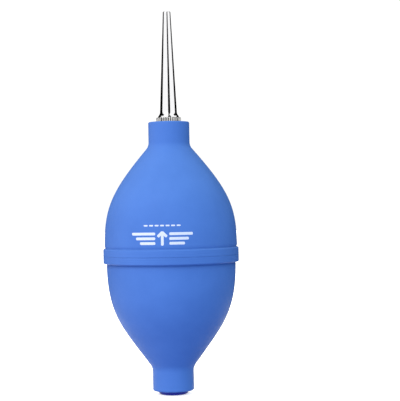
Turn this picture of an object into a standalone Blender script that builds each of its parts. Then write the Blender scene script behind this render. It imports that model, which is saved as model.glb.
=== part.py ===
"""Hand-squeezed air blower: a rubber bulb with a screwed metal nozzle and a one-way intake valve.

The blower stands on the flat face of its intake plug, whose centre is the origin. +Z runs up the common
axis of all the pieces to the tip of the nozzle, and the side that the thumb presses faces -Y.
All sizes are in metres.
"""
import math

import bpy

GAP = 0.0003  # clearance between pieces that touch or grip each other

# The bulb: two shells bonded at the middle of the belt
WALL = 0.0026
BELT_RADIUS = 0.02835
BELT_TOP = 0.0613
BELT_BOTTOM = 0.0550
BELT_ROUNDING = 0.0006
BOND_HEIGHT = (BELT_TOP + BELT_BOTTOM) / 2
LAP_DEPTH = 0.0024  # how far the upper shell's inner lip reaches into the lower shell
LAP_RADIUS = 0.0265

# Necks, the same at both ends
NECK_RADIUS = 0.0086
NECK_BORE = 0.0060
BARB_RADIUS = 0.0066
BARB_LENGTH = 0.0018
BARREL_RADIUS = NECK_BORE - GAP
BARREL_CHAMFER = 0.0003
UPPER_RIM = 0.1138
UPPER_RIM_ROUNDING = 0.0005
LOWER_RIM = 0.0016
LOWER_RIM_ROUNDING = 0.0008

# Thumb and finger areas, which move in when the bulb is squeezed
PAD_HALF_WIDTH = 0.0190
PAD_HALF_HEIGHT = 0.0290
PAD_HEIGHT = 0.0590

# Nozzle: a tapered tube on a knurled collar with an M7 x 1 shank
NOZZLE_TOP = 0.1600
TIP_RADIUS = 0.0016
TIP_BORE = 0.0010
TIP_ROUNDING = 0.00027
FOOT_RADIUS = 0.0036
FOOT_BORE = 0.0026
FLARE_RADIUS = 0.0044
FLARE_HEIGHT = 0.0014
FLARE_CURVE = 0.0020  # radius of the hollow between the flare and the tube
FLARE_EDGE = 0.0002
SPIGOT_RADIUS = 0.0029
SPIGOT_LENGTH = 0.0020
AIRWAY_RADIUS = 0.0023
COLLAR_RADIUS = 0.00523
COLLAR_TOP = 0.1156
COLLAR_BOTTOM = 0.1134
COLLAR_CHAMFER = 0.0003
SHANK_RADIUS = 0.0035
SHANK_LENGTH = 0.0085
SEAL_SECTION = 0.0006  # radius of the O-ring's round section
LIP_DEPTH = 0.0011  # rubber lip that covers the socket at the upper rim

# Neck socket
SOCKET_BOTTOM = 0.1020

# Intake plug and what it holds
PLUG_RADIUS = 0.0063
PLUG_ROUNDING = 0.0014
PLUG_HEAD = 0.0030
PLUG_TOP = 0.0128
INTAKE_RADIUS = 0.0016
SEAT_HEIGHT = 0.0040
DISC_RADIUS = 0.0033
DISC_THICKNESS = 0.0008
LIFT = 0.0012
LOWER_CHAMBER = 0.0039
UPPER_CHAMBER = 0.0044
CAGE_RING_BOTTOM = 0.0074
CAGE_TOP = 0.0096
CAGE_RADIUS = UPPER_CHAMBER - GAP
CAGE_RING_BORE = 0.0033
CAGE_BAR = 0.0011
SNAP_BEAD = 0.0005
SNAP_STEP = 0.0003  # height of the bead's slopes and of its flat
CAGE_BARS = SEAT_HEIGHT + GAP + DISC_THICKNESS + LIFT + GAP  # underside of the bars, above the lifted disc
CAGE_BAR_DEPTH = 0.0020

# Places that follow from the sizes above
SOCKET_BARB = 0.1080  # heights of the barbs' biting edges
PLUG_BARB = 0.0080
NOZZLE_SEAT = COLLAR_TOP + GAP
SEAL_RECESS = 2 * SEAL_SECTION + GAP

BULB_SEGMENTS = 32
SMALL_SEGMENTS = 24
PAD_SEGMENTS = 28
SEAL_SEGMENTS = 8
CUTTER_MARGIN = 0.005  # how far a cutter reaches past the bulb


def bezier(start, start_handle, end_handle, end, steps):
    """Points of a cubic curve from start to end, both included."""
    points = []
    for step in range(steps + 1):
        t = step / steps
        weights = ((1 - t) ** 3, 3 * t * (1 - t) ** 2, 3 * t * t * (1 - t), t ** 3)
        corners = (start, start_handle, end_handle, end)
        points.append(tuple(sum(w * c[i] for w, c in zip(weights, corners)) for i in (0, 1)))
    return points


def offset(points, distance):
    """The points of an open outline moved sideways, to the right of their direction."""
    moved = []
    for i, (radius, height) in enumerate(points):
        before = points[max(i - 1, 0)]
        after = points[min(i + 1, len(points) - 1)]
        run = math.dist(before, after)
        moved.append((radius + (after[1] - before[1]) / run * distance,
                      height - (after[0] - before[0]) / run * distance))
    return moved


def rounded(corners, steps=3):
    """Outline through corners (radius, height, rounding), with an arc at each rounded corner."""
    points = []
    for i, (radius, height, rounding) in enumerate(corners):
        if not rounding:
            points.append((radius, height))
            continue
        ends = (corners[i - 1], corners[(i + 1) % len(corners)])
        angles = [math.atan2(end[1] - height, end[0] - radius) for end in ends]
        turn = (angles[1] - angles[0] + math.pi) % (2 * math.pi) - math.pi
        reach = rounding / math.sin(abs(turn) / 2)
        middle = angles[0] + turn / 2
        centre = (radius + reach * math.cos(middle), height + reach * math.sin(middle))
        sweep = math.copysign(math.pi - abs(turn), turn)
        first = middle + math.pi + sweep / 2
        for step in range(steps + 1):
            angle = first - sweep * step / steps
            points.append((centre[0] + rounding * math.cos(angle), centre[1] + rounding * math.sin(angle)))
    return points


def plain(points):
    """Points (radius, height) as corners without rounding."""
    return [(radius, height, 0) for radius, height in points]


class BulbHalf:
    """Meridian of one half of the bulb, from the edge of the belt to the shoulder under the neck."""

    def __init__(self, edge, edge_handle, shoulder, shoulder_handle, slope, steps):
        towards = math.copysign(1, shoulder[1] - edge[1])  # +1 where the half rises from the belt
        lean = math.tan(slope)
        start_handle = (edge[0], edge[1] + towards * edge_handle)
        end_handle = (shoulder[0] + shoulder_handle * math.sin(slope),
                      shoulder[1] - towards * shoulder_handle * math.cos(slope))
        self.outer = bezier(edge, start_handle, end_handle, shoulder, steps)
        self.inner = offset(self.outer, -towards * WALL)
        self.neck_corner = shoulder[1] + towards * (shoulder[0] - NECK_RADIUS) / lean
        inner_end = self.inner[-1]
        self.bore_corner = inner_end[1] + towards * (inner_end[0] - NECK_BORE) / lean


UPPER_HALF = BulbHalf(edge=(0.0277, 0.0607), edge_handle=0.0166, shoulder=(0.0099, 0.1022),
                      shoulder_handle=0.0240, slope=math.radians(40.6), steps=8)
LOWER_HALF = BulbHalf(edge=(0.0270, 0.0556), edge_handle=0.0203, shoulder=(0.0119, 0.0158),
                      shoulder_handle=0.0168, slope=math.radians(36.3), steps=8)
UPPER_FILLET = 0.0042
LOWER_FILLET = 0.0050


def clear_scene():
    for obj in list(bpy.data.objects):
        bpy.data.objects.remove(obj, do_unlink=True)


def finish(name, colour, roughness, metallic=0.0):
    """Plain Principled material."""
    material = bpy.data.materials.new(name)
    material.use_nodes = True
    shader = material.node_tree.nodes["Principled BSDF"]
    shader.inputs["Base Color"].default_value = (*colour, 1.0)
    shader.inputs["Roughness"].default_value = roughness
    shader.inputs["Metallic"].default_value = metallic
    return material


def collection(name):
    group = bpy.data.collections.new(name)
    bpy.context.scene.collection.children.link(group)
    return group


def outline_mesh(name, outline):
    """Closed outline in the XZ plane, of points (radius, height), as edges for a Screw modifier."""
    mesh = bpy.data.meshes.new(name)
    points = [(radius, 0.0, height) for radius, height in outline]
    edges = [(i, (i + 1) % len(points)) for i in range(len(points))]
    mesh.from_pydata(points, edges, [])
    return mesh


def turn(obj, segments):
    """Turn the object's outline about its own Z axis."""
    screw = obj.modifiers.new("Turn", "SCREW")
    screw.axis = "Z"
    screw.steps = segments
    screw.render_steps = segments
    screw.use_merge_vertices = True
    screw.merge_threshold = 0.00001
    screw.use_smooth_shade = True


def cut(obj, cutter, operation="DIFFERENCE"):
    boolean = obj.modifiers.new(operation.title(), "BOOLEAN")
    boolean.operation = operation
    boolean.object = cutter
    boolean.solver = "EXACT"


def add_object(name, mesh, group, material=None, height=0.0, parent=None):
    """New object on the common axis, its origin at the given height."""
    obj = bpy.data.objects.new(name, mesh)
    group.objects.link(obj)
    obj.location.z = height
    if material:
        obj.data.materials.clear()
        obj.data.materials.append(material)
    if parent:
        obj.parent = parent
        obj.location -= parent.location
    return obj


def add_empty(name, group, height):
    """Empty on the common axis, which carries the pieces of one moving group."""
    empty = bpy.data.objects.new(name, None)
    group.objects.link(empty)
    empty.location.z = height
    return empty


def move_to(obj, group):
    """Move a new primitive from the scene's collection to the given one."""
    for owner in list(obj.users_collection):
        owner.objects.unlink(obj)
    group.objects.link(obj)


def as_cutter(obj, group):
    """Keep a primitive only as the tool of a Boolean."""
    move_to(obj, group)
    obj.display_type = "WIRE"
    obj.hide_render = True


def elliptical_block(name, group, clearance, y_from, y_to):
    """Cutter: the outline of a squeezed area, less a clearance all round, as a block along Y."""
    bpy.ops.mesh.primitive_cylinder_add(vertices=PAD_SEGMENTS, radius=1, depth=1,
                                        location=(0, (y_from + y_to) / 2, PAD_HEIGHT),
                                        rotation=(math.radians(90), 0, 0))
    block = bpy.context.active_object
    block.name = name
    block.scale = (PAD_HALF_WIDTH - clearance, PAD_HALF_HEIGHT - clearance, abs(y_to - y_from))
    bpy.ops.object.transform_apply(location=False, rotation=False, scale=True)
    as_cutter(block, group)
    return block


def barb(height):
    """Corners of a barrel's barb down its outer side, from the edge that bites at the given height."""
    return plain([(BARREL_RADIUS, height), (BARB_RADIUS, height), (BARREL_RADIUS, height - BARB_LENGTH)])


def barb_recess(height):
    """Corners of the groove that a barb presses into the bore of a neck, from its lower end up."""
    wide = BARB_RADIUS + GAP
    low = height - BARB_LENGTH - GAP
    return plain([(NECK_BORE, low), (wide, low), (wide, height + GAP), (NECK_BORE, height + GAP)])


def upper_shell_outline():
    """Upper half of the bulb: down the outside, round the lap at the belt and up the inside."""
    lip_bore = COLLAR_RADIUS + GAP
    lip_bottom = UPPER_RIM - LIP_DEPTH
    bond = BOND_HEIGHT + GAP / 2
    outside = [(lip_bore, UPPER_RIM, 0),
               (NECK_RADIUS, UPPER_RIM, UPPER_RIM_ROUNDING),
               (NECK_RADIUS, UPPER_HALF.neck_corner, UPPER_FILLET)]
    outside += plain(reversed(UPPER_HALF.outer[1:]))
    outside += [(UPPER_HALF.outer[0][0], BELT_TOP, 0), (BELT_RADIUS, BELT_TOP, BELT_ROUNDING)]
    lap_bore = UPPER_HALF.inner[0][0]
    lap = plain([(BELT_RADIUS, bond), (LAP_RADIUS, bond), (LAP_RADIUS, BOND_HEIGHT - LAP_DEPTH),
                 (lap_bore, BOND_HEIGHT - LAP_DEPTH)])
    inside = plain(UPPER_HALF.inner) + [(NECK_BORE, UPPER_HALF.bore_corner, 0)]
    inside += barb_recess(SOCKET_BARB) + plain([(NECK_BORE, lip_bottom), (lip_bore, lip_bottom)])
    return rounded(outside + lap + inside)


def lower_shell_outline():
    """Lower half of the bulb: down the outside, round the lower rim and up the inside."""
    bond = BOND_HEIGHT - GAP / 2
    lap_bottom = BOND_HEIGHT - LAP_DEPTH - GAP
    outside = [(BELT_RADIUS, bond, 0), (BELT_RADIUS, BELT_BOTTOM, BELT_ROUNDING),
               (LOWER_HALF.outer[0][0], BELT_BOTTOM, 0)]
    outside += plain(LOWER_HALF.outer[1:])
    outside += [(NECK_RADIUS, LOWER_HALF.neck_corner, LOWER_FILLET),
                (NECK_RADIUS, LOWER_RIM, LOWER_RIM_ROUNDING)]
    head_bore = PLUG_RADIUS + GAP
    head_top = PLUG_HEAD + GAP
    inside = plain([(head_bore, LOWER_RIM), (head_bore, head_top), (NECK_BORE, head_top)])
    inside += barb_recess(PLUG_BARB) + plain([(NECK_BORE, LOWER_HALF.bore_corner)])
    inside += plain(reversed(LOWER_HALF.inner[1:]))
    lap = plain([(LOWER_HALF.inner[0][0], lap_bottom), (LAP_RADIUS + GAP, lap_bottom),
                 (LAP_RADIUS + GAP, bond)])
    return rounded(outside + inside + lap)


def socket_outline():
    """Threaded insert in the upper neck, with heights from its own lower end."""
    top = UPPER_RIM - LIP_DEPTH - GAP - SEAL_RECESS - SOCKET_BOTTOM
    thread_bore = SHANK_RADIUS + GAP
    outside = plain([(BARREL_RADIUS - BARREL_CHAMFER, top), (BARREL_RADIUS, top - BARREL_CHAMFER)])
    outside += barb(SOCKET_BARB - SOCKET_BOTTOM)
    outside += plain([(BARREL_RADIUS, BARREL_CHAMFER), (BARREL_RADIUS - BARREL_CHAMFER, 0)])
    return rounded(outside + plain([(thread_bore, 0), (thread_bore, top)]))


def tube_outline():
    """Tapered nozzle tube, with heights from the flat under its flared foot."""
    top = NOZZLE_TOP - NOZZLE_SEAT
    outside = [(TIP_RADIUS, top, TIP_ROUNDING), (FOOT_RADIUS, FLARE_HEIGHT, FLARE_CURVE),
               (FLARE_RADIUS, FLARE_EDGE, 0), (FLARE_RADIUS, 0, 0)]
    spigot = plain([(SPIGOT_RADIUS, 0), (SPIGOT_RADIUS, -SPIGOT_LENGTH), (AIRWAY_RADIUS, -SPIGOT_LENGTH)])
    inside = [(FOOT_BORE, FLARE_HEIGHT, 0), (TIP_BORE, top, TIP_ROUNDING)]
    return rounded(outside + spigot + inside, steps=4)


def collar_outline():
    """Collar and its screw shank, with heights from the top of the collar."""
    bottom = COLLAR_BOTTOM - COLLAR_TOP
    socket_bore = SPIGOT_RADIUS + GAP
    socket_floor = -SPIGOT_LENGTH - GAP
    outside = [(COLLAR_RADIUS - COLLAR_CHAMFER, 0), (COLLAR_RADIUS, -COLLAR_CHAMFER),
               (COLLAR_RADIUS, bottom), (SHANK_RADIUS, bottom), (SHANK_RADIUS, bottom - SHANK_LENGTH)]
    inside = [(AIRWAY_RADIUS, bottom - SHANK_LENGTH), (AIRWAY_RADIUS, socket_floor),
              (socket_bore, socket_floor), (socket_bore, 0)]
    return outside + inside


def plug_outline():
    """Intake plug: button head, barbed barrel, intake hole, valve seat and the chamber above it."""
    outside = plain([(BARREL_RADIUS - BARREL_CHAMFER, PLUG_TOP), (BARREL_RADIUS, PLUG_TOP - BARREL_CHAMFER)])
    outside += barb(PLUG_BARB)
    outside += [(BARREL_RADIUS, PLUG_HEAD, 0), (PLUG_RADIUS, PLUG_HEAD, 0),
                (PLUG_RADIUS, 0, PLUG_ROUNDING), (INTAKE_RADIUS, 0, 0)]
    step = CAGE_RING_BOTTOM - GAP
    bead = CAGE_TOP + GAP
    bead_radius = UPPER_CHAMBER - SNAP_BEAD
    inside = plain([(INTAKE_RADIUS, SEAT_HEIGHT), (LOWER_CHAMBER, SEAT_HEIGHT), (LOWER_CHAMBER, step),
                    (UPPER_CHAMBER, step), (UPPER_CHAMBER, bead), (bead_radius, bead + SNAP_STEP),
                    (bead_radius, bead + 2 * SNAP_STEP), (UPPER_CHAMBER, bead + 3 * SNAP_STEP),
                    (UPPER_CHAMBER, PLUG_TOP)])
    return rounded(outside + inside, steps=4)


def cage_outline():
    """Ring of the valve cage, with heights from the underside of its bars."""
    low = CAGE_RING_BOTTOM - CAGE_BARS
    top = CAGE_TOP - CAGE_BARS
    return [(CAGE_RADIUS, top), (CAGE_RADIUS, low), (CAGE_RING_BORE, low), (CAGE_RING_BORE, top)]


def add_bar(name, group, size, height):
    """Box centred on the axis, with its underside at the given height."""
    bpy.ops.mesh.primitive_cube_add(size=1, location=(0, 0, height + size[2] / 2))
    bar = bpy.context.active_object
    bar.name = name
    bar.scale = size
    bpy.ops.object.transform_apply(location=False, rotation=False, scale=True)
    as_cutter(bar, group)
    return bar


def build_bulb(parts, cutters, rubber):
    """Two shells, each with the walls that are squeezed in at its front and back."""
    reach = BELT_RADIUS + CUTTER_MARGIN
    window = elliptical_block("squeeze_window", cutters, 0, -reach, reach)
    walls = {"front": (elliptical_block("front_block", cutters, GAP, -reach, -NECK_RADIUS), "front_press"),
             "back": (elliptical_block("back_block", cutters, GAP, NECK_RADIUS, reach), "back_press")}
    halves = {"upper": upper_shell_outline(), "lower": lower_shell_outline()}
    for half, outline in halves.items():
        shell = add_object(f"{half}_shell", outline_mesh(f"{half}_shell", outline), parts, rubber)
        turn(shell, BULB_SEGMENTS)
        cut(shell, window)
    for side, (block, carrier_name) in walls.items():
        carrier = add_empty(carrier_name, parts, PAD_HEIGHT)
        for half in halves:
            wall = add_object(f"{half}_{side}_wall", bpy.data.meshes[f"{half}_shell"], parts, parent=carrier)
            turn(wall, BULB_SEGMENTS)
            cut(wall, block, "INTERSECT")


def build_nozzle(parts, chrome, steel, brass, seal_rubber):
    """Socket in the neck, and the nozzle that screws into it on its O-ring."""
    socket = add_object("neck_socket", outline_mesh("neck_socket", socket_outline()), parts, brass,
                        height=SOCKET_BOTTOM)
    turn(socket, SMALL_SEGMENTS)
    carrier = add_empty("nozzle_thread", parts, COLLAR_TOP)
    collar = add_object("nozzle_collar", outline_mesh("nozzle_collar", collar_outline()), parts, steel,
                        height=COLLAR_TOP, parent=carrier)
    turn(collar, SMALL_SEGMENTS)
    tube = add_object("nozzle_tube", outline_mesh("nozzle_tube", tube_outline()), parts, chrome,
                      height=NOZZLE_SEAT, parent=carrier)
    turn(tube, SMALL_SEGMENTS)
    bpy.ops.mesh.primitive_torus_add(major_segments=SMALL_SEGMENTS, minor_segments=SEAL_SEGMENTS,
                                     major_radius=SHANK_RADIUS + GAP + SEAL_SECTION,
                                     minor_radius=SEAL_SECTION,
                                     location=(0, 0, COLLAR_BOTTOM - GAP - SEAL_SECTION))
    seal = bpy.context.active_object
    seal.name = "nozzle_o_ring"
    seal.data.materials.append(seal_rubber)
    seal.data.shade_smooth()
    move_to(seal, parts)


def build_intake(parts, cutters, plug_plastic, cage_plastic, silicone):
    """Intake plug, with the valve disc and the cage that it holds."""
    plug = add_object("intake_plug", outline_mesh("intake_plug", plug_outline()), parts, plug_plastic)
    turn(plug, SMALL_SEGMENTS)
    bpy.ops.mesh.primitive_cylinder_add(vertices=SMALL_SEGMENTS, radius=DISC_RADIUS, depth=DISC_THICKNESS,
                                        location=(0, 0, SEAT_HEIGHT + GAP + DISC_THICKNESS / 2))
    disc = bpy.context.active_object
    disc.name = "valve_disc"
    disc.data.materials.append(silicone)
    move_to(disc, parts)
    cage = add_object("valve_cage", outline_mesh("valve_cage", cage_outline()), parts, cage_plastic,
                      height=CAGE_BARS)
    turn(cage, SMALL_SEGMENTS)
    length = CAGE_RING_BORE + CAGE_RADIUS  # the bars end in the middle of the ring's wall
    for name, size in (("bar_across", (length, CAGE_BAR, CAGE_BAR_DEPTH)),
                       ("bar_along", (CAGE_BAR, length, CAGE_BAR_DEPTH))):
        cut(cage, add_bar(name, cutters, size, CAGE_BARS), "UNION")


def main():
    clear_scene()
    parts = collection("air_blower")
    cutters = collection("cutters")
    build_bulb(parts, cutters, finish("blue_rubber", (0.07, 0.22, 0.68), 0.55))
    build_nozzle(parts, finish("chrome", (0.80, 0.80, 0.82), 0.08, 1.0),
                 finish("plated_steel", (0.62, 0.63, 0.65), 0.25, 1.0),
                 finish("brass", (0.72, 0.55, 0.28), 0.30, 1.0),
                 finish("black_rubber", (0.02, 0.02, 0.02), 0.60))
    build_intake(parts, cutters, finish("navy_plastic", (0.01, 0.02, 0.25), 0.15),
                 finish("white_plastic", (0.75, 0.75, 0.73), 0.40),
                 finish("clear_silicone", (0.70, 0.72, 0.72), 0.45))


main()
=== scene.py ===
"""Looks of the hand-squeezed air blower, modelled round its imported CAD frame.

Run as a script, it builds the rubber skin, the printed mark, the nozzle, the intake valve and the studio.
Everything is in metres: the origin is the centre of the intake plug's flat face, +Z runs up the axis to the
nozzle's tip, and the side that the thumb presses faces -Y.
"""
import math

import bmesh
import bpy
from bpy.props import FloatProperty, FloatVectorProperty, IntProperty, PointerProperty
from bpy.types import Operator, Panel, PropertyGroup
from mathutils import Matrix, Vector


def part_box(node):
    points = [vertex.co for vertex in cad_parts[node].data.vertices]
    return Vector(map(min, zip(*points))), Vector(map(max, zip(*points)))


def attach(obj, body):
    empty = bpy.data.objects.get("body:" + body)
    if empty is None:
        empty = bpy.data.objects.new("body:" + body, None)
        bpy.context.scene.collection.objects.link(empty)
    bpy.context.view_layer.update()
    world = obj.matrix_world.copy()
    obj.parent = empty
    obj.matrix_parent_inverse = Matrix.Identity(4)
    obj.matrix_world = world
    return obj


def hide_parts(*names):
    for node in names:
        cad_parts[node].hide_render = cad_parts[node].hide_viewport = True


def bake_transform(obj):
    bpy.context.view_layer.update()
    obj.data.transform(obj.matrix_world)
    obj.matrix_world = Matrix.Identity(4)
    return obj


bl_info = {
    "name": "Air Blower",
    "version": (1, 0, 0),
    "blender": (4, 5, 0),
    "location": "View3D > Sidebar > Air Blower",
    "description": "Models a hand-squeezed air blower with its nozzle, intake valve and studio",
    "category": "Object",
}

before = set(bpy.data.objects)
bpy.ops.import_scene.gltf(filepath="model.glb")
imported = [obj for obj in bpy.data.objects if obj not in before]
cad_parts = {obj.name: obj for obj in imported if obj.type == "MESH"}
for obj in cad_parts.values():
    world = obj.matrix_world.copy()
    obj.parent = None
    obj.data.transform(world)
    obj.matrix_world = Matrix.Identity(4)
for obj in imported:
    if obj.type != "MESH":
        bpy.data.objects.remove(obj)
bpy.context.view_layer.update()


def node_top(node):
    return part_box(node)[1].z


def node_bottom(node):
    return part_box(node)[0].z


def node_radius(node):
    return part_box(node)[1].x


GAP = 0.0003  # clearance that the CAD solids keep to each other
HAIR = 0.00003  # clearance between finished pieces that touch
EDGE = 0.0002  # usual rounding of a small edge
FINE_EDGE = 0.0001  # rounding of the sharpest edges
ROUND_EDGE = 0.0003  # rounding of the larger moulded and turned edges
MERGE = 1e-7  # points nearer than this are one point
UP = (0.0, 0.0, 1.0)
FULL_TURN = 2 * math.pi
QUARTER = math.pi / 2

# Bulb
BELT_RADIUS = node_radius("upper_shell")
UPPER_RIM = node_top("upper_shell")
LOWER_RIM = node_bottom("lower_shell")
BOND_HEIGHT = node_top("lower_shell") + GAP / 2
BELT_HALF_HEIGHT = 0.00315
BELT_MARGIN = 0.0010  # beyond the belt's edges, where its profile takes over from the wall's
BELT_GROOVE = 0.00025  # shallow groove where the belt meets the wall
BOND_CHAMFER = 0.00007
LAP_RADIUS = 0.0265
LAP_BOTTOM = node_bottom("upper_shell")
NECK_RADIUS = 0.0086
NECK_BORE = 0.0060
BORE_FILLET = 0.0015
UPPER_FILLET = 0.0042  # rounding between the neck and the bulb
LOWER_FILLET = 0.0050
UPPER_RIM_ROUNDING = 0.0006
LOWER_RIM_ROUNDING = 0.0008
BARREL_RADIUS = NECK_BORE - GAP
BARB_RADIUS = node_radius("neck_socket")
BARB_LENGTH = 0.0018
SOCKET_BARB = 0.1080
PLUG_BARB = 0.0080
LIP_BORE = node_radius("nozzle_collar") + GAP
LIP_BOTTOM = UPPER_RIM - 0.0011

# Nozzle
COLLAR_RADIUS = node_radius("nozzle_collar")
COLLAR_TOP = node_top("nozzle_collar")
COLLAR_BOTTOM = node_top("nozzle_o_ring") + GAP
SHANK_BOTTOM = node_bottom("nozzle_collar")
COLLAR_CHAMFER = 0.0002
COLLAR_LAND = 0.0007  # width of the flat top that stays clear of the tube's flare
SHANK_RADIUS = 0.0035
SHANK_UNDERCUT = 0.0005  # depth of the groove between the collar and the thread
UNDERCUT_LENGTH = 0.0016
THREAD_PITCH = 0.0010
THREAD_DEPTH = 0.0006
THREAD_FLANK = 0.35  # share of the pitch that each flank takes
NOZZLE_TOP = node_top("nozzle_tube")
NOZZLE_SEAT = COLLAR_TOP + GAP
SPIGOT_BOTTOM = node_bottom("nozzle_tube")
SPIGOT_RADIUS = 0.0029
AIRWAY_RADIUS = 0.0023
FOOT_RADIUS = 0.0036
FOOT_BORE = 0.0026
FLARE_RADIUS = node_radius("nozzle_tube")
FLARE_HEIGHT = 0.0014
FLARE_CURVE = 0.0022  # radius of the hollow between the flare and the tube
FLARE_RIM = 0.0003  # height of the flare's upright edge
FOOT_CURVE = 0.0030  # radius of the bend in the bore at the foot
LIP_SHARE = 0.46  # rounding of the tip as a share of its wall

# Intake
PLUG_TOP = node_top("intake_plug")
PLUG_HEAD = 0.0030
INTAKE_RADIUS = 0.0016
SEAT_HEIGHT = 0.0040
LOWER_CHAMBER = 0.0039
UPPER_CHAMBER = 0.0044
CAGE_RING_BOTTOM = 0.0074
CAGE_RING_BORE = 0.0033
CAGE_BAR = 0.0011  # width of a bar
CAGE_BAR_LAP = 0.0014  # how far the bars reach up into the ring
CAGE_BAR_EDGE = 0.00015
SEAT_RISE = 0.0002  # height of the valve seat's raised ring
SEAT_WIDTH = 0.0006
SNAP_BEAD = 0.0005  # how far the bead over the cage stands in
DISC_EDGE = 0.00025


class BulbSettings(PropertyGroup):
    """Rubber skin."""
    wall: FloatProperty(name="Wall", description="Thickness of the rubber", default=0.0026,
                        min=0.001, unit="LENGTH")
    belt_rounding: FloatProperty(name="Belt rounding", description="Radius of the belt's edges",
                                 default=0.0006, min=0.0001, unit="LENGTH")
    colour: FloatVectorProperty(name="Colour", description="Colour of the rubber", subtype="COLOR",
                                size=3, min=0, max=1, default=(0.056, 0.152, 0.485))
    shade: FloatVectorProperty(name="Shade", description="Deeper tone of the rubber's mottling",
                               subtype="COLOR", size=3, min=0, max=1, default=(0.050, 0.139, 0.455))
    roughness: FloatProperty(name="Roughness", description="Roughness of the moulded surface",
                             default=0.52, min=0, max=1, subtype="FACTOR")
    segments: IntProperty(name="Segments", description="Steps round each half of the bulb", default=96,
                          min=24)


class MarkSettings(PropertyGroup):
    """Printed air-flow mark."""
    height: FloatProperty(name="Height", description="Height of the arrow's centre", default=0.0658,
                          unit="LENGTH")
    middle: FloatProperty(name="Middle", description="How far the mark's middle lies from the bulb's",
                          default=-0.0028, unit="LENGTH")
    ink: FloatVectorProperty(name="Ink", description="Colour of the print", subtype="COLOR", size=3,
                             min=0, max=1, default=(0.52, 0.58, 0.76))


class NozzleSettings(PropertyGroup):
    """Nozzle tube, collar, seal and socket."""
    tip_radius: FloatProperty(name="Tip radius", description="Outer radius at the tip", default=0.0016,
                              unit="LENGTH")
    tip_bore: FloatProperty(name="Tip bore", description="Radius of the air hole at the tip",
                            default=0.0010, unit="LENGTH")
    knurl_teeth: IntProperty(name="Knurl teeth", description="Teeth round the collar", default=32, min=12)
    knurl_depth: FloatProperty(name="Knurl depth", description="Depth of the knurl's grooves",
                               default=0.00040, unit="LENGTH")
    chrome: FloatVectorProperty(name="Chrome", description="Colour of the plated tube", subtype="COLOR",
                                size=3, min=0, max=1, default=(0.93, 0.93, 0.94))
    nickel: FloatVectorProperty(name="Nickel", description="Colour of the plated collar",
                                subtype="COLOR", size=3, min=0, max=1, default=(0.80, 0.80, 0.80))


class IntakeSettings(PropertyGroup):
    """Intake plug, valve disc and cage."""
    face_radius: FloatProperty(name="Head radius", description="Radius of the plug's head",
                               default=0.0063, unit="LENGTH")
    edge_rounding: FloatProperty(name="Edge rounding", description="Radius of the head's lower edge",
                                 default=0.0014, unit="LENGTH")
    colour: FloatVectorProperty(name="Colour", description="Colour of the plug", subtype="COLOR",
                                size=3, min=0, max=1, default=(0.003, 0.012, 0.26))


class StudioSettings(PropertyGroup):
    """Camera, light and floor."""
    distance: FloatProperty(name="Distance", description="From the camera to the blower's axis",
                            default=0.560, unit="LENGTH")
    camera_height: FloatProperty(name="Camera height", description="Height of the camera", default=0.0807,
                                 unit="LENGTH")
    camera_side: FloatProperty(name="Camera side", description="How far the camera stands to +X",
                               default=0.0125, unit="LENGTH")
    roll: FloatProperty(name="Roll", description="Tilt of the camera about its own line of sight",
                        default=math.radians(-1.08), subtype="ANGLE")
    lens: FloatProperty(name="Lens", description="Focal length in millimetres", default=120.1, min=10)
    key_power: FloatProperty(name="Key power", description="Power of the large upper light, in watts",
                             default=4.0, min=0)
    fill_strength: FloatProperty(name="Fill", description="Strength of the light from all round",
                                 default=1.0, min=0)
    slope_red: FloatVectorProperty(name="Red slope", description="How the red light grows along X, Y, Z",
                                   size=3, default=(-0.60, -0.35, 1.0))
    slope_green: FloatVectorProperty(name="Green slope",
                                     description="How the green light grows along X, Y, Z",
                                     size=3, default=(-0.42, -0.45, 0.93))
    slope_blue: FloatVectorProperty(name="Blue slope", description="How the blue light grows along X, Y, Z",
                                    size=3, default=(-0.36, -0.60, 0.55))


# ---------------------------------------------------------------- outlines

def bezier(start, start_handle, end_handle, end, steps):
    """Points of a cubic curve from start to end, both included."""
    points = []
    for step in range(steps + 1):
        t = step / steps
        weights = ((1 - t) ** 3, 3 * t * (1 - t) ** 2, 3 * t * t * (1 - t), t ** 3)
        corners = (start, start_handle, end_handle, end)
        points.append(tuple(sum(w * c[i] for w, c in zip(weights, corners)) for i in (0, 1)))
    return points


def offset(points, distance):
    """The points of an open outline moved sideways, to the right of their direction."""
    moved = []
    for i, (radius, height) in enumerate(points):
        before = points[max(i - 1, 0)]
        after = points[min(i + 1, len(points) - 1)]
        run = math.dist(before, after)
        moved.append((radius + (after[1] - before[1]) / run * distance,
                      height - (after[0] - before[0]) / run * distance))
    return moved


def rounded(corners, steps=6):
    """Outline through corners (radius, height, rounding), with an arc at each rounded corner."""
    points = []
    for i, (radius, height, rounding) in enumerate(corners):
        if not rounding:
            points.append((radius, height))
            continue
        ends = (corners[i - 1], corners[(i + 1) % len(corners)])
        angles = [math.atan2(end[1] - height, end[0] - radius) for end in ends]
        turn = (angles[1] - angles[0] + math.pi) % FULL_TURN - math.pi
        reach = rounding / math.sin(abs(turn) / 2)
        middle = angles[0] + turn / 2
        centre = (radius + reach * math.cos(middle), height + reach * math.sin(middle))
        sweep = math.copysign(math.pi - abs(turn), turn)
        first = middle + math.pi + sweep / 2
        for step in range(steps + 1):
            angle = first - sweep * step / steps
            points.append((centre[0] + rounding * math.cos(angle), centre[1] + rounding * math.sin(angle)))
    return points


def plain(points):
    """Points (radius, height) as corners without rounding."""
    return [(radius, height, 0) for radius, height in points]


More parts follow.
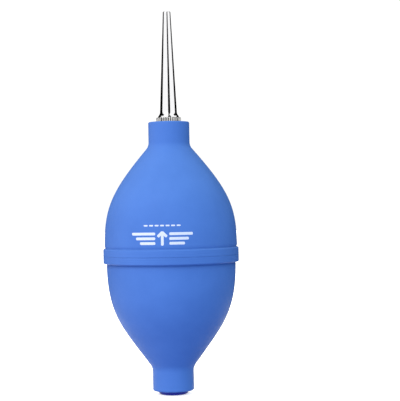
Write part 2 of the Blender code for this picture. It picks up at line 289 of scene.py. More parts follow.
class BulbHalf:
    """Meridian of one half of the bulb, from the edge of the belt to the shoulder under the neck."""

    def __init__(self, edge, edge_handle, shoulder, shoulder_handle, slope, wall, steps=40):
        towards = math.copysign(1, shoulder[1] - edge[1])
        lean = math.tan(slope)
        start_handle = (edge[0], edge[1] + towards * edge_handle)
        end_handle = (shoulder[0] + shoulder_handle * math.sin(slope),
                      shoulder[1] - towards * shoulder_handle * math.cos(slope))
        self.outer = bezier(edge, start_handle, end_handle, shoulder, steps)
        self.inner = offset(self.outer, -towards * wall)[::2]
        self.neck_corner = shoulder[1] + towards * (shoulder[0] - NECK_RADIUS) / lean
        inner_end = self.inner[-1]
        self.bore_corner = inner_end[1] + towards * (inner_end[0] - NECK_BORE) / lean


def upper_half(wall):
    return BulbHalf(edge=(0.0277, 0.0607), edge_handle=0.0166, shoulder=(0.0099, 0.1022),
                    shoulder_handle=0.0240, slope=math.radians(40.6), wall=wall)


def lower_half(wall):
    return BulbHalf(edge=(0.0270, 0.0556), edge_handle=0.0203, shoulder=(0.0119, 0.0158),
                    shoulder_handle=0.0168, slope=math.radians(36.3), wall=wall)


def barb(height):
    """Corners of a barrel's barb down its outer side, from the edge that bites at the given height."""
    return [(BARREL_RADIUS, height, 0), (BARB_RADIUS, height, FINE_EDGE),
            (BARREL_RADIUS, height - BARB_LENGTH, 0)]


def barb_recess(height):
    """Corners of the groove that a barb presses into the bore of a neck, from its lower end up."""
    wide = BARB_RADIUS + HAIR
    low = height - BARB_LENGTH
    return plain([(NECK_BORE, low), (wide, low + EDGE), (wide, height + HAIR),
                  (NECK_BORE, height + HAIR)])


# ---------------------------------------------------------------- meshes

def outline_loop(bm, points, angle=0.0):
    """Closed loop of edges through points (radius, height), in the half plane at the given angle."""
    turn = Matrix.Rotation(angle, 3, "Z")
    verts = [bm.verts.new(turn @ Vector((radius, 0, height))) for radius, height in points]
    edges = [bm.edges.new((verts[i - 1], verts[i])) for i in range(len(verts))]
    return verts + edges


def turned(points, segments=96):
    """Body turned about Z from a closed outline."""
    bm = bmesh.new()
    loop = outline_loop(bm, points)
    bmesh.ops.spin(bm, geom=loop, axis=UP, cent=(0, 0, 0), angle=FULL_TURN, steps=segments,
                   use_merge=True)
    bmesh.ops.remove_doubles(bm, verts=bm.verts, dist=MERGE)
    bmesh.ops.recalc_face_normals(bm, faces=bm.faces)
    return bm


def half_turned(points, first_angle, segments):
    """Body turned half way round Z, closed at both ends, with a very narrow first and last step."""
    bm = bmesh.new()
    loop = outline_loop(bm, points, first_angle)
    seam = math.radians(0.05)  # keeps the seam's shading as round as the rest
    for sweep, steps in ((seam, 1), (math.pi - 2 * seam, segments), (seam, 1)):
        spun = bmesh.ops.spin(bm, geom=loop, axis=UP, cent=(0, 0, 0), angle=sweep, steps=steps)
        loop = spun["geom_last"]
    for vert in bm.verts:
        if abs(vert.co.y) < MERGE:
            vert.co.y = 0.0
    ends = [edge for edge in bm.edges if edge.is_boundary]
    bmesh.ops.holes_fill(bm, edges=ends, sides=0)
    bmesh.ops.recalc_face_normals(bm, faces=bm.faces)
    for edge in ends:
        edge.smooth = False
    return bm


def add_piece(name, bm, material, sharp_angle=math.radians(32)):
    """Object from a bmesh, shaded smooth except across sharp edges, with its material and slot."""
    mesh = bpy.data.meshes.new(name)
    for face in bm.faces:
        face.smooth = True
    for edge in bm.edges:
        if edge.is_manifold and edge.calc_face_angle(0.0) > sharp_angle:
            edge.smooth = False
    bm.to_mesh(mesh)
    bm.free()
    mesh.materials.append(material)
    piece = bpy.data.objects.new(name, mesh)
    bpy.context.scene.collection.objects.link(piece)
    return piece


# ---------------------------------------------------------------- materials

class Finish:
    """Principled material whose tone, gloss and surface come from patterns on Object coordinates."""

    def __init__(self, name, roughness, metallic=0.0, **constants):
        self.material = bpy.data.materials.new(name)
        self.material.use_nodes = True
        self.nodes = self.material.node_tree.nodes
        self.links = self.material.node_tree.links
        self.shader = self.nodes["Principled BSDF"]
        self.shader.inputs["Roughness"].default_value = roughness
        self.shader.inputs["Metallic"].default_value = metallic
        for socket, value in constants.items():
            self.shader.inputs[socket.replace("_", " ")].default_value = value
        self.place = self.nodes.new("ShaderNodeTexCoord").outputs["Object"]
        self.normal = None

    def stretched(self, scale):
        """The place, scaled differently along each axis, for grain that runs one way."""
        mapping = self.nodes.new("ShaderNodeMapping")
        mapping.inputs["Scale"].default_value = scale
        self.links.new(self.place, mapping.inputs["Vector"])
        return mapping.outputs["Vector"]

    def noise(self, scale, detail=2.0, vector=None):
        node = self.nodes.new("ShaderNodeTexNoise")
        node.inputs["Scale"].default_value = scale
        node.inputs["Detail"].default_value = detail
        self.links.new(vector or self.place, node.inputs["Vector"])
        return node.outputs["Fac"]

    def ramp(self, value, stops):
        """Colour ramp over (position, (red, green, blue)) stops."""
        node = self.nodes.new("ShaderNodeValToRGB")
        elements = node.color_ramp.elements
        while len(elements) < len(stops):
            elements.new(1.0)
        for element, (position, colour) in zip(elements, stops):
            element.position = position
            element.color = (*colour, 1.0)
        self.links.new(value, node.inputs["Fac"])
        return node.outputs["Color"]

    def math(self, operation, first, second=0.0):
        node = self.nodes.new("ShaderNodeMath")
        node.operation = operation
        for socket, value in zip(node.inputs, (first, second)):
            if isinstance(value, (int, float)):
                socket.default_value = value
            else:
                self.links.new(value, socket)
        return node.outputs["Value"]

    def axis(self, name):
        split = self.nodes.new("ShaderNodeSeparateXYZ")
        self.links.new(self.place, split.inputs["Vector"])
        return split.outputs[name]

    def tone(self, value, dark, light, low=0.3, high=0.7):
        self.links.new(self.ramp(value, [(low, dark), (high, light)]), self.shader.inputs["Base Color"])

    def gloss(self, value, smooth, rough, low=0.3, high=0.7):
        """Roughness that runs between two values with a pattern."""
        node = self.nodes.new("ShaderNodeMapRange")
        for socket, number in (("From Min", low), ("From Max", high), ("To Min", smooth), ("To Max", rough)):
            node.inputs[socket].default_value = number
        self.links.new(value, node.inputs["Value"])
        self.links.new(node.outputs["Result"], self.shader.inputs["Roughness"])

    def relief(self, height, depth, strength=1.0):
        """Bump of the given depth in metres, on top of any relief that is already there."""
        node = self.nodes.new("ShaderNodeBump")
        node.inputs["Strength"].default_value = strength
        node.inputs["Distance"].default_value = depth
        self.links.new(height, node.inputs["Height"])
        if self.normal:
            self.links.new(self.normal, node.inputs["Normal"])
        self.normal = node.outputs["Normal"]
        self.links.new(self.normal, self.shader.inputs["Normal"])


def moulded_rubber(settings):
    """Matt moulded rubber: fine grain, soft mottling and the mould's turning lines on the belt."""
    rubber = Finish("moulded_rubber", settings.roughness, Specular_IOR_Level=0.09)
    mottle = rubber.noise(90, 4)
    rubber.tone(mottle, settings.shade, settings.colour)
    rubber.gloss(rubber.noise(700, 3), settings.roughness - 0.07, settings.roughness + 0.07)
    rubber.relief(rubber.noise(2600, 3), 0.00003, 0.35)
    rubber.relief(rubber.noise(260, 2), 0.00012, 0.18)
    away = rubber.math("ABSOLUTE", rubber.math("SUBTRACT", rubber.axis("Z"), BOND_HEIGHT))
    on_belt = rubber.math("LESS_THAN", away, BELT_HALF_HEIGHT)
    lines = rubber.noise(1.0, 1, rubber.stretched((25, 25, 4200)))
    rubber.relief(rubber.math("MULTIPLY", on_belt, lines), 0.00012, 0.9)
    return rubber.material


def printed_ink(settings):
    """Pad-printed ink: a dense pale layer with pinholes, a little glossier than the rubber."""
    ink = Finish("printed_ink", 0.42, Specular_IOR_Level=0.45)
    worn = tuple(0.86 * value for value in settings.ink)
    ink.tone(ink.noise(3200, 3), worn, settings.ink, 0.32, 0.48)
    ink.gloss(ink.noise(1400, 2), 0.36, 0.52)
    ink.relief(ink.noise(4200, 2), 0.00001, 0.4)
    return ink.material


def bright_chrome(settings):
    """Polished plating with faint lengthways polishing lines."""
    chrome = Finish("bright_chrome", 0.05, 1.0)
    chrome.tone(chrome.noise(60, 3), tuple(0.96 * value for value in settings.chrome), settings.chrome)
    chrome.gloss(chrome.noise(1.0, 3, chrome.stretched((2400, 2400, 60))), 0.03, 0.09)
    chrome.relief(chrome.noise(1.0, 2, chrome.stretched((1800, 1800, 90))), 0.00001, 0.05)
    return chrome.material


def plated_nickel(settings):
    """Bright nickel over a knurled part, with painted shade darkening the knurl's grooves, and turning marks
    round it.
    """
    nickel = Finish("plated_nickel", 0.18, 1.0)
    # Painted shade: the colour falls to a quarter of the nickel's in the knurl's grooves, a little unevenly.
    angle = nickel.math("ARCTAN2", nickel.axis("Y"), nickel.axis("X"))
    groove = nickel.math("ABSOLUTE", nickel.math("COSINE", nickel.math("MULTIPLY", angle,
                                                                      settings.knurl_teeth / 2)))
    uneven_painted_groove_shade = nickel.math("ADD", groove, nickel.math("MULTIPLY", nickel.noise(900, 4), 0.3))
    nickel.tone(uneven_painted_groove_shade, settings.nickel, tuple(0.25 * value for value in settings.nickel), 0.55, 1.0)
    nickel.gloss(nickel.noise(1500, 3), 0.12, 0.26)
    nickel.relief(nickel.noise(1.0, 2, nickel.stretched((150, 150, 9000))), 0.00002, 0.25)
    return nickel.material


def turned_brass():
    """Machined brass with fine turning marks and a slight tarnish."""
    brass = Finish("turned_brass", 0.3, 1.0)
    brass.tone(brass.noise(420, 4), (0.50, 0.33, 0.12), (0.78, 0.58, 0.27))
    brass.gloss(brass.noise(800, 3), 0.22, 0.42)
    brass.relief(brass.noise(1.0, 2, brass.stretched((120, 120, 8000))), 0.00002, 0.4)
    return brass.material


def seal_rubber():
    """Black nitrile rubber with a soft skin."""
    rubber = Finish("seal_rubber", 0.5, Specular_IOR_Level=0.4)
    rubber.tone(rubber.noise(900, 3), (0.012, 0.012, 0.013), (0.028, 0.028, 0.030))
    rubber.gloss(rubber.noise(1600, 3), 0.42, 0.62)
    rubber.relief(rubber.noise(5200, 2), 0.00001, 0.4)
    return rubber.material


def gloss_plastic(settings):
    """Glossy injection-moulded plastic with a faint flow texture under the gloss."""
    plastic = Finish("gloss_plastic", 0.14, Specular_IOR_Level=0.15)
    deep = tuple(0.7 * value for value in settings.colour)
    plastic.tone(plastic.noise(160, 4), deep, settings.colour)
    plastic.gloss(plastic.noise(1100, 3), 0.10, 0.20)
    plastic.relief(plastic.noise(900, 2), 0.00002, 0.15)
    return plastic.material


def natural_plastic():
    """Undyed moulded plastic."""
    plastic = Finish("natural_plastic", 0.4)
    plastic.tone(plastic.noise(300, 4), (0.66, 0.66, 0.62), (0.78, 0.78, 0.75))
    plastic.gloss(plastic.noise(1300, 3), 0.32, 0.48)
    plastic.relief(plastic.noise(2600, 2), 0.00002, 0.3)
    return plastic.material


def soft_silicone():
    """Milky silicone sheet with a fine calendered surface."""
    silicone = Finish("soft_silicone", 0.42, Sheen_Weight=0.1, Specular_IOR_Level=0.4)
    silicone.tone(silicone.noise(500, 3), (0.60, 0.63, 0.64), (0.74, 0.76, 0.76))
    silicone.gloss(silicone.noise(1800, 2), 0.36, 0.50)
    silicone.relief(silicone.noise(4200, 2), 0.00001, 0.4)
    return silicone.material


def pale_floor():
    """White sheet that glows softly, so that shadows on it stay faint."""
    paper = Finish("pale_floor", 0.9, Specular_IOR_Level=0.0, Emission_Color=(1, 1, 1, 1),
                   Emission_Strength=0.55)
    paper.tone(paper.noise(30, 2), (0.90, 0.90, 0.90), (0.93, 0.93, 0.93))
    return paper.material


def black_card():
    """Matt black board."""
    card = Finish("black_card", 1.0, Specular_IOR_Level=0.0)
    card.tone(card.noise(10, 2), (0.002, 0.002, 0.002), (0.003, 0.003, 0.003))
    return card.material


# ---------------------------------------------------------------- bulb

def belt_profile(rounding, meet_radius, side, bond):
    """Corners of the belt's half on one side (+1 above, -1 below), from the bulb's wall to the bond.

    A shallow groove runs where the belt meets the wall, and the bond's edge has a small chamfer.
    """
    edge = BOND_HEIGHT + side * BELT_HALF_HEIGHT
    return [(meet_radius, edge + side * 3 * BELT_GROOVE, 0),
            (meet_radius - BELT_GROOVE, edge + side * BELT_GROOVE, BELT_GROOVE * 0.6),
            (meet_radius - BELT_GROOVE * 0.4, edge, BELT_GROOVE * 0.3),
            (BELT_RADIUS, edge, rounding),
            (BELT_RADIUS, bond + side * BOND_CHAMFER, 0),
            (BELT_RADIUS - BOND_CHAMFER, bond, 0)]


def upper_shell_outline(settings):
    """Upper half of the bulb: down the outside, round the lap at the belt and up the inside."""
    half = upper_half(settings.wall)
    bond = BOND_HEIGHT + HAIR / 2
    belt_top = BOND_HEIGHT + BELT_HALF_HEIGHT + BELT_MARGIN
    above_belt = [point for point in half.outer if point[1] > belt_top]
    outside = [(LIP_BORE, UPPER_RIM, EDGE), (NECK_RADIUS, UPPER_RIM, UPPER_RIM_ROUNDING),
               (NECK_RADIUS, half.neck_corner, UPPER_FILLET)]
    outside += plain(reversed(above_belt))
    outside += belt_profile(settings.belt_rounding, half.outer[0][0], 1, bond)
    lap = plain([(LAP_RADIUS, bond), (LAP_RADIUS, LAP_BOTTOM), (half.inner[0][0], LAP_BOTTOM)])
    inside = plain(half.inner) + [(NECK_BORE, half.bore_corner, BORE_FILLET)]
    inside += barb_recess(SOCKET_BARB)
    inside += [(NECK_BORE, LIP_BOTTOM, 0), (LIP_BORE, LIP_BOTTOM, EDGE)]
    return rounded(outside + lap + inside)


def lower_shell_outline(settings, plug_radius):
    """Lower half of the bulb: down the outside, round the lower rim and up the inside."""
    half = lower_half(settings.wall)
    bond = BOND_HEIGHT - HAIR / 2
    belt_bottom = BOND_HEIGHT - BELT_HALF_HEIGHT - BELT_MARGIN
    below_belt = [point for point in half.outer if point[1] < belt_bottom]
    outside = list(reversed(belt_profile(settings.belt_rounding, half.outer[0][0], -1, bond)))
    outside += plain(below_belt)
    outside += [(NECK_RADIUS, half.neck_corner, LOWER_FILLET),
                (NECK_RADIUS, LOWER_RIM, LOWER_RIM_ROUNDING)]
    head_bore = plug_radius + HAIR
    head_top = PLUG_HEAD + HAIR
    inside = [(head_bore, LOWER_RIM, FINE_EDGE), (head_bore, head_top, 0), (NECK_BORE, head_top, 0)]
    inside += barb_recess(PLUG_BARB) + [(NECK_BORE, half.bore_corner, BORE_FILLET)]
    inside += plain(reversed(half.inner[1:]))
    lap_bottom = LAP_BOTTOM - HAIR
    lap = plain([(half.inner[0][0], lap_bottom), (LAP_RADIUS + HAIR, lap_bottom),
                 (LAP_RADIUS + HAIR, bond)])
    return rounded(outside + inside + lap)


def squeezed(piece):
    """Bakes the piece's placement into its mesh; the piece does not bend."""
    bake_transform(piece)


class AIRBLOWER_OT_bulb(Operator):
    """Model the two rubber shells, each as a front and a back half"""
    bl_idname = "airblower.bulb"
    bl_label = "Bulb"

    def execute(self, context):
        settings = context.scene.airblower_bulb
        plug_radius = context.scene.airblower_intake.face_radius
        rubber = moulded_rubber(settings)
        outlines = {"upper": upper_shell_outline(settings),
                    "lower": lower_shell_outline(settings, plug_radius)}
        for half, outline in outlines.items():
            for side, wall, first_angle in ((-1, "front", math.pi), (1, "back", 0.0)):
                bm = half_turned(outline, first_angle, settings.segments)
                skin = add_piece(f"{half}_shell_{wall}_skin", bm, rubber)
                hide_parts(f"{half}_shell", f"{half}_{wall}_wall")
                squeezed(skin)
        return {"FINISHED"}


# ---------------------------------------------------------------- printed mark

BAR_WIDTH = 0.0011
BAR_LENGTHS = (0.0062, 0.0078, 0.0094)  # of each group's three bars, from the lowest up
BAR_STEP = 0.0019  # from one bar to the next
BAR_START = 0.0028  # from the mark's middle to the inner end of a bar
ARROW_SHAFT = 0.0050
ARROW_SHAFT_DROP = 0.0003
ARROW_BARB = 0.0028
ARROW_BARB_SIDE = 0.00085
ARROW_BARB_RISE = 0.0017
DASHES = range(-3, 4)
DASH_LENGTH = 0.0016
DASH_WIDTH = 0.0006
DASH_STEP = 0.0022
DASH_RISE = 0.0052
STROKE_DIVISION = 0.0004  # short enough to follow the bulb's curve
INK_LIFT = 0.00001  # clearance between the ink and the rubber
INK_THICKNESS = 0.00002


def stroke(bm, centre, length, width, angle=0.0):
    """Flat bar with round ends in the XZ plane, finely divided along its length."""
    place = Matrix.Translation((centre[0], 0, centre[1])) @ Matrix.Rotation(angle, 4, "Y")
    upright = Matrix.Rotation(QUARTER, 4, "X")
    grid = bmesh.ops.create_grid(bm, x_segments=max(2, round(length / STROKE_DIVISION)), y_segments=2,
                                 size=0.5,
                                 matrix=place @ upright @ Matrix.Diagonal((length, width, 1, 1)))
    corners = [vert for vert in grid["verts"] if len(vert.link_edges) == 2]
    bmesh.ops.bevel(bm, geom=corners, offset=width * 0.45, segments=4, profile=0.5, affect="VERTICES",
                    material=-1)


def wrap_on_bulb(bm, half, lift):
    """Move flat artwork onto the front of the bulb, a hair above the rubber."""
    meridian = sorted((height, radius) for radius, height in half.outer)
    for vert in bm.verts:
        above = next(i for i, (height, _) in enumerate(meridian) if height > vert.co.z)
        (low, low_radius), (high, high_radius) = meridian[above - 1], meridian[above]
        share = (vert.co.z - low) / (high - low)
        radius = low_radius + (high_radius - low_radius) * share + lift
        vert.co.y = -math.sqrt(radius ** 2 - vert.co.x ** 2)


class AIRBLOWER_OT_mark(Operator):
    """Print a plain air-flow mark: an arrow towards the nozzle between two groups of bars"""
    bl_idname = "airblower.mark"
    bl_label = "Printed mark"

    def execute(self, context):
        settings = context.scene.airblower_mark
        middle, height = settings.middle, settings.height
        bm = bmesh.new()
        for side in (-1, 1):
            for row, length in enumerate(BAR_LENGTHS):
                reach = BAR_START + length / 2
                stroke(bm, (middle + side * reach, height + (row - 1) * BAR_STEP), length, BAR_WIDTH)
            stroke(bm, (middle + side * ARROW_BARB_SIDE, height + ARROW_BARB_RISE), ARROW_BARB,
                   BAR_WIDTH, side * math.radians(45))
        stroke(bm, (middle, height - ARROW_SHAFT_DROP), ARROW_SHAFT, BAR_WIDTH, QUARTER)
        for dash in DASHES:
            stroke(bm, (middle + dash * DASH_STEP, height + DASH_RISE), DASH_LENGTH, DASH_WIDTH)
        bmesh.ops.triangulate(bm, faces=[face for face in bm.faces if len(face.verts) > 4])
        wrap_on_bulb(bm, upper_half(context.scene.airblower_bulb.wall), INK_LIFT)
        bmesh.ops.recalc_face_normals(bm, faces=bm.faces)
        bmesh.ops.solidify(bm, geom=bm.faces, thickness=-INK_THICKNESS)
        piece = add_piece("airflow_mark", bm, printed_ink(settings), math.radians(60))
        squeezed(piece)
        return {"FINISHED"}


# ---------------------------------------------------------------- nozzle

def tube_outline(settings):
    """Tapered tube: rolled tip, flared foot, spigot and bore."""
    lip = (settings.tip_radius - settings.tip_bore) * LIP_SHARE
    underside = NOZZLE_SEAT - GAP + HAIR
    outside = [(settings.tip_radius, NOZZLE_TOP, lip),
               (FOOT_RADIUS, NOZZLE_SEAT + FLARE_HEIGHT, FLARE_CURVE),
               (FLARE_RADIUS, NOZZLE_SEAT + FLARE_RIM, FINE_EDGE), (FLARE_RADIUS, underside, FINE_EDGE)]
    spigot = [(SPIGOT_RADIUS, underside, 0), (SPIGOT_RADIUS, SPIGOT_BOTTOM, FINE_EDGE),
              (AIRWAY_RADIUS, SPIGOT_BOTTOM, FINE_EDGE)]
    inside = [(FOOT_BORE, NOZZLE_SEAT + FLARE_HEIGHT, FOOT_CURVE), (settings.tip_bore, NOZZLE_TOP, lip)]
    return rounded(outside + spigot + inside, steps=8)


def thread_outline(radius, low, high, crest):
    """Points of a thread's section from its upper end down, with sharp crests and flat roots.

    The section is turned, so its rings stand in for the thread's helix. A positive crest is the share of
    the depth that the roots lie inside the radius, and a negative one the share that they lie outside.
    """
    root = radius - crest * THREAD_DEPTH
    points = []
    for turn in range(int((high - low) / THREAD_PITCH)):
        top = high - turn * THREAD_PITCH
        points += [(radius, top), (root, top - THREAD_FLANK * THREAD_PITCH),
                   (root, top - (1 - THREAD_FLANK) * THREAD_PITCH)]
    return points


def collar_outline():
    """Collar head with its bore, and the shank with its thread's section."""
    bore = SPIGOT_RADIUS + HAIR
    undercut = SHANK_RADIUS - SHANK_UNDERCUT
    undercut_bottom = COLLAR_BOTTOM - UNDERCUT_LENGTH
    outside = [(COLLAR_RADIUS - COLLAR_LAND, COLLAR_TOP, 0),
               (COLLAR_RADIUS - COLLAR_CHAMFER, COLLAR_TOP, FINE_EDGE),
               (COLLAR_RADIUS, COLLAR_TOP - ROUND_EDGE, 0),
               (COLLAR_RADIUS, COLLAR_BOTTOM + COLLAR_CHAMFER, 0),
               (COLLAR_RADIUS - COLLAR_CHAMFER, COLLAR_BOTTOM, 0), (undercut, COLLAR_BOTTOM, 0),
               (undercut, undercut_bottom, 0)]
    outside += plain(thread_outline(SHANK_RADIUS, SHANK_BOTTOM, undercut_bottom - EDGE, 1))
    inside = [(SHANK_RADIUS - THREAD_DEPTH, SHANK_BOTTOM, EDGE), (AIRWAY_RADIUS, SHANK_BOTTOM, EDGE),
              (AIRWAY_RADIUS, SPIGOT_BOTTOM - HAIR, 0), (bore, SPIGOT_BOTTOM - HAIR, 0),
              (bore, COLLAR_TOP, EDGE)]
    return rounded(outside + inside, steps=4)


def knurled(bm, teeth, depth):
    """Press a straight knurl into the collar's rim: the rim's points move in between the teeth."""
    for vert in bm.verts:
        radius = math.hypot(vert.co.x, vert.co.y)
        if radius > COLLAR_RADIUS - FINE_EDGE:
            angle = math.atan2(vert.co.y, vert.co.x)
            groove = math.cos(angle * teeth / 2) ** 2
            shrink = 1 - groove * depth / radius
            vert.co.x *= shrink
            vert.co.y *= shrink


class AIRBLOWER_OT_nozzle(Operator):
    """Model the chromed tube and the knurled collar that screws into the neck"""
    bl_idname = "airblower.nozzle"
    bl_label = "Nozzle"

    def execute(self, context):
        settings = context.scene.airblower_nozzle
        tube = add_piece("tapered_tube", turned(tube_outline(settings), 128), bright_chrome(settings))
        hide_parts("nozzle_tube")
        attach(tube, "nozzle")
        bm = turned(collar_outline(), settings.knurl_teeth * 8)
        knurled(bm, settings.knurl_teeth, settings.knurl_depth)
        collar = add_piece("knurled_collar", bm, plated_nickel(settings))
        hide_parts("nozzle_collar")
        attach(collar, "nozzle")
        return {"FINISHED"}


class AIRBLOWER_OT_seal(Operator):
    """Model the O-ring under the collar"""
    bl_idname = "airblower.seal"
    bl_label = "Seal"

    def execute(self, context):
        low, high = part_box("nozzle_o_ring")
        section = (high.z - low.z) / 2
        ring_radius = high.x - section
        middle = (low.z + high.z) / 2
        bm = bmesh.new()
        circle = bmesh.ops.create_circle(bm, segments=32, radius=section, matrix=Matrix.Translation(
            (ring_radius, 0, middle)) @ Matrix.Rotation(QUARTER, 4, "X"))
        loop = circle["verts"] + list(bm.edges)
        bmesh.ops.spin(bm, geom=loop, axis=UP, cent=(0, 0, 0), angle=FULL_TURN, steps=128,
                       use_merge=True)
        bmesh.ops.remove_doubles(bm, verts=bm.verts, dist=MERGE)
        bmesh.ops.recalc_face_normals(bm, faces=bm.faces)
        ring = add_piece("collar_seal", bm, seal_rubber())
        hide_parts("nozzle_o_ring")
        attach(ring, "seal")
        return {"FINISHED"}


class AIRBLOWER_OT_socket(Operator):
    """Model the barbed brass insert in the upper neck"""
    bl_idname = "airblower.socket"
    bl_label = "Neck socket"

    def execute(self, context):
        low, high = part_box("neck_socket")
        ends = [(BARREL_RADIUS, high.z, ROUND_EDGE), (BARREL_RADIUS, low.z, ROUND_EDGE)]
        outside = [ends[0], *barb(SOCKET_BARB), ends[1]]
        bore = SHANK_RADIUS + GAP
        thread = thread_outline(bore, low.z, high.z, -0.4)
        inside = [(bore, low.z, 0)] + plain(reversed(thread[3:-3])) + [(bore, high.z, 0)]
        socket = add_piece("barbed_socket", turned(rounded(outside + inside), 96), turned_brass())
        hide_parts("neck_socket")
        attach(socket, "root")
        return {"FINISHED"}


# ---------------------------------------------------------------- intake

def plug_outline(settings):
    """Button head, barbed barrel, intake hole, raised valve seat and the stepped chamber."""
    outside = [(BARREL_RADIUS, PLUG_TOP, ROUND_EDGE)] + barb(PLUG_BARB)
    outside += [(BARREL_RADIUS, PLUG_HEAD, 0), (settings.face_radius, PLUG_HEAD, EDGE),
                (settings.face_radius, 0, settings.edge_rounding), (INTAKE_RADIUS, 0, ROUND_EDGE)]
    step = CAGE_RING_BOTTOM - HAIR
    bead = node_top("valve_cage") + HAIR
    seat_outer = INTAKE_RADIUS + SEAT_WIDTH
    inside = [(INTAKE_RADIUS, SEAT_HEIGHT + SEAT_RISE, EDGE), (seat_outer, SEAT_HEIGHT + SEAT_RISE, EDGE),
              (seat_outer + SEAT_RISE, SEAT_HEIGHT, FINE_EDGE), (LOWER_CHAMBER, SEAT_HEIGHT, ROUND_EDGE),
              (LOWER_CHAMBER, step, FINE_EDGE), (UPPER_CHAMBER, step, 0), (UPPER_CHAMBER, bead, 0),
              (UPPER_CHAMBER - SNAP_BEAD, bead + 0.8 * SNAP_BEAD, EDGE),
              (UPPER_CHAMBER, bead + 1.8 * SNAP_BEAD, ROUND_EDGE), (UPPER_CHAMBER, PLUG_TOP, ROUND_EDGE)]
    return rounded(outside + inside, steps=6)


class AIRBLOWER_OT_plug(Operator):
    """Model the glossy intake plug"""
    bl_idname = "airblower.plug"
    bl_label = "Intake plug"

    def execute(self, context):
        settings = context.scene.airblower_intake
        plug = add_piece("valve_plug", turned(plug_outline(settings), 128), gloss_plastic(settings))
        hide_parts("intake_plug")
        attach(plug, "root")
        return {"FINISHED"}


class AIRBLOWER_OT_valve(Operator):
    """Model the loose valve disc and the cage over it"""
    bl_idname = "airblower.valve"
    bl_label = "Valve disc and cage"

    def execute(self, context):
        low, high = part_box("valve_disc")
        disc_outline = rounded([(0, high.z, 0), (high.x, high.z, DISC_EDGE), (high.x, low.z, DISC_EDGE),
                                (0, low.z, 0)])
        disc = add_piece("flap_disc", turned(disc_outline, 96), soft_silicone())
        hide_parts("valve_disc")
        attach(disc, "valve")
        self.cage()
        return {"FINISHED"}

    def cage(self):
        """Ring with a cross of two bars under it, each a separate closed body within one piece."""
        low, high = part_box("valve_cage")
        ring = [(radius, height, EDGE) for radius, height in (
            (high.x, high.z), (high.x, CAGE_RING_BOTTOM), (CAGE_RING_BORE, CAGE_RING_BOTTOM),
            (CAGE_RING_BORE, high.z))]
        bm = turned(rounded(ring), 96)
        depth = CAGE_RING_BOTTOM + CAGE_BAR_LAP - low.z
        size = (2 * (high.x - EDGE), CAGE_BAR, depth)
        for angle in (0.0, QUARTER):
            bar = bmesh.ops.create_cube(bm, size=1, matrix=Matrix.Rotation(angle, 4, "Z")
                                        @ Matrix.Translation((0, 0, low.z + depth / 2))
                                        @ Matrix.Diagonal((*size, 1)))
            edges = list({edge for vert in bar["verts"] for edge in vert.link_edges})
            bmesh.ops.bevel(bm, geom=edges, offset=CAGE_BAR_EDGE, segments=3, profile=0.5,
                            affect="EDGES", material=-1)
        cage = add_piece("disc_cage", bm, natural_plastic())
        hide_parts("valve_cage")
        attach(cage, "root")


# ---------------------------------------------------------------- studio

FLOOR_REACH = 3.0
KEY_PLACE = (-0.45, -0.75, 0.85)
KEY_TARGET = (0, 0, 0.08)
KEY_SIZE = 0.7
CARDS = {"middle_card": (-3.5, 30), "right_card": (98, 62), "left_card": (200, 72)}  # bearing, sweep
BACKDROP_STRENGTH = 1.05
SENSOR_WIDTH = 36.0  # millimetres


def add_key_light(power):
    """Large square light, up to the left in front, turned towards the blower."""
    data = bpy.data.lights.new("key", "AREA")
    data.shape = "SQUARE"
    data.size = KEY_SIZE
    data.energy = power
    lamp = bpy.data.objects.new("key", data)
    lamp.location = KEY_PLACE
    lamp.rotation_euler = (Vector(KEY_TARGET) - lamp.location).to_track_quat("-Z", "Y").to_euler()
    lamp.visible_camera = False
    bpy.context.scene.collection.objects.link(lamp)


def add_card(name, bearing, sweep, material, distance=0.2, height=0.8):
    """Upright black card, curved round the nozzle and seen only in reflections; 0 degrees is the front."""
    bm = bmesh.new()
    foot = Matrix.Rotation(bearing, 3, "Z") @ Vector((0, -distance, 0))
    ends = [bm.verts.new(foot), bm.verts.new(foot + Vector((0, 0, height)))]
    side = bm.edges.new(ends)
    bmesh.ops.spin(bm, geom=[*ends, side], axis=UP, cent=(0, 0, 0), angle=sweep, steps=24)
    mesh = bpy.data.meshes.new(name)
    bm.to_mesh(mesh)
    bm.free()
    mesh.materials.append(material)
    card = bpy.data.objects.new(name, mesh)
    bpy.context.scene.collection.objects.link(card)
    card.visible_camera = False
    card.visible_diffuse = False
    card.visible_shadow = False


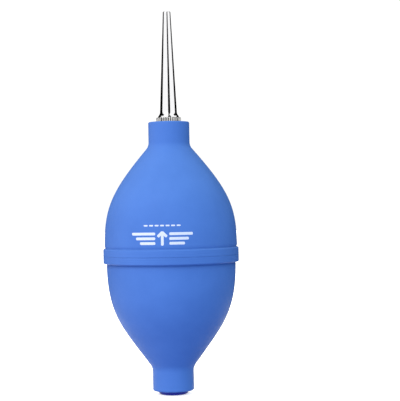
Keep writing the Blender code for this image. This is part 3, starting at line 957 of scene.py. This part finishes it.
class AIRBLOWER_OT_studio(Operator):
    """Set the pale floor, the soft light and the camera"""
    bl_idname = "airblower.studio"
    bl_label = "Studio"

    def execute(self, context):
        settings = context.scene.airblower_studio
        self.floor()
        self.light(context.scene, settings)
        self.camera(context.scene, settings)
        return {"FINISHED"}

    def floor(self):
        bm = bmesh.new()
        bmesh.ops.create_grid(bm, x_segments=1, y_segments=1, size=FLOOR_REACH)
        mesh = bpy.data.meshes.new("studio_floor")
        bm.to_mesh(mesh)
        bm.free()
        mesh.materials.append(pale_floor())
        floor = bpy.data.objects.new("studio_floor", mesh)
        bpy.context.scene.collection.objects.link(floor)
        floor.visible_diffuse = False

    def light(self, scene, settings):
        scene.world = self.world(settings)
        add_key_light(settings.key_power)
        card = black_card()
        for name, (bearing, sweep) in CARDS.items():
            add_card(name, math.radians(bearing), math.radians(sweep), card)
        scene.view_settings.view_transform = "Standard"

    def world(self, settings):
        """Soft light from all round, strongest from above, from the front and from the left.

        What the camera and mirrors see of it is plain white.
        """
        world = bpy.data.worlds.new("studio")
        world.use_nodes = True
        nodes, links = world.node_tree.nodes, world.node_tree.links
        soft = nodes["Background"]
        direction = nodes.new("ShaderNodeTexCoord").outputs["Generated"]
        colour = nodes.new("ShaderNodeCombineColor")
        for channel, slope in zip(colour.inputs, (settings.slope_red, settings.slope_green,
                                                  settings.slope_blue)):
            dot = nodes.new("ShaderNodeVectorMath")
            dot.operation = "DOT_PRODUCT"
            dot.inputs[1].default_value = slope
            links.new(direction, dot.inputs[0])
            level = nodes.new("ShaderNodeMath")
            level.operation = "ADD"
            level.inputs[1].default_value = 1.0
            links.new(dot.outputs["Value"], level.inputs[0])
            lit = nodes.new("ShaderNodeMath")
            lit.operation = "MAXIMUM"
            lit.inputs[1].default_value = 0.0
            links.new(level.outputs["Value"], lit.inputs[0])
            links.new(lit.outputs["Value"], channel)
        links.new(colour.outputs["Color"], soft.inputs["Color"])
        soft.inputs["Strength"].default_value = settings.fill_strength
        backdrop = nodes.new("ShaderNodeBackground")
        backdrop.inputs["Color"].default_value = (1, 1, 1, 1)
        backdrop.inputs["Strength"].default_value = BACKDROP_STRENGTH
        ray = nodes.new("ShaderNodeLightPath")
        seen = nodes.new("ShaderNodeMath")
        seen.operation = "MAXIMUM"
        links.new(ray.outputs["Is Camera Ray"], seen.inputs[0])
        links.new(ray.outputs["Is Glossy Ray"], seen.inputs[1])
        blend = nodes.new("ShaderNodeMixShader")
        links.new(seen.outputs["Value"], blend.inputs[0])
        links.new(soft.outputs["Background"], blend.inputs[1])
        links.new(backdrop.outputs["Background"], blend.inputs[2])
        links.new(blend.outputs["Shader"], nodes["World Output"].inputs["Surface"])
        return world

    def camera(self, scene, settings):
        data = bpy.data.cameras.new("camera")
        data.lens = settings.lens
        data.sensor_width = SENSOR_WIDTH
        camera = bpy.data.objects.new("camera", data)
        scene.collection.objects.link(camera)
        camera.location = (settings.camera_side, -settings.distance, settings.camera_height)
        camera.matrix_world = (Matrix.Translation(camera.location) @ Matrix.Rotation(QUARTER, 4, "X")
                               @ Matrix.Rotation(settings.roll, 4, "Z"))
        scene.camera = camera


# ---------------------------------------------------------------- add-on

class AIRBLOWER_PT_panel(Panel):
    """Sidebar panel with the steps in order"""
    bl_idname = "AIRBLOWER_PT_panel"
    bl_label = "Air Blower"
    bl_space_type = "VIEW_3D"
    bl_region_type = "UI"
    bl_category = "Air Blower"

    def draw(self, context):
        for operator in OPERATORS:
            self.layout.operator(operator.bl_idname)
        for name, group in SETTINGS.items():
            box = self.layout.box()
            for field in group.__annotations__:
                box.prop(getattr(context.scene, name), field)


SETTINGS = {
    "airblower_bulb": BulbSettings,
    "airblower_mark": MarkSettings,
    "airblower_nozzle": NozzleSettings,
    "airblower_intake": IntakeSettings,
    "airblower_studio": StudioSettings,
}
OPERATORS = (AIRBLOWER_OT_bulb, AIRBLOWER_OT_mark, AIRBLOWER_OT_socket, AIRBLOWER_OT_nozzle,
             AIRBLOWER_OT_seal, AIRBLOWER_OT_plug, AIRBLOWER_OT_valve, AIRBLOWER_OT_studio)


def register():
    for cls in (*SETTINGS.values(), *OPERATORS, AIRBLOWER_PT_panel):
        bpy.utils.register_class(cls)
    for name, group in SETTINGS.items():
        setattr(bpy.types.Scene, name, PointerProperty(type=group))


def unregister():
    for name in SETTINGS:
        delattr(bpy.types.Scene, name)
    for cls in (AIRBLOWER_PT_panel, *reversed(OPERATORS), *reversed(SETTINGS.values())):
        bpy.utils.unregister_class(cls)


def main():
    """Build the blower and its studio."""
    register()
    bpy.ops.airblower.bulb()
    bpy.ops.airblower.mark()
    bpy.ops.airblower.socket()
    bpy.ops.airblower.nozzle()
    bpy.ops.airblower.seal()
    bpy.ops.airblower.plug()
    bpy.ops.airblower.valve()
    bpy.ops.airblower.studio()


if __name__ == "__main__":
    main()
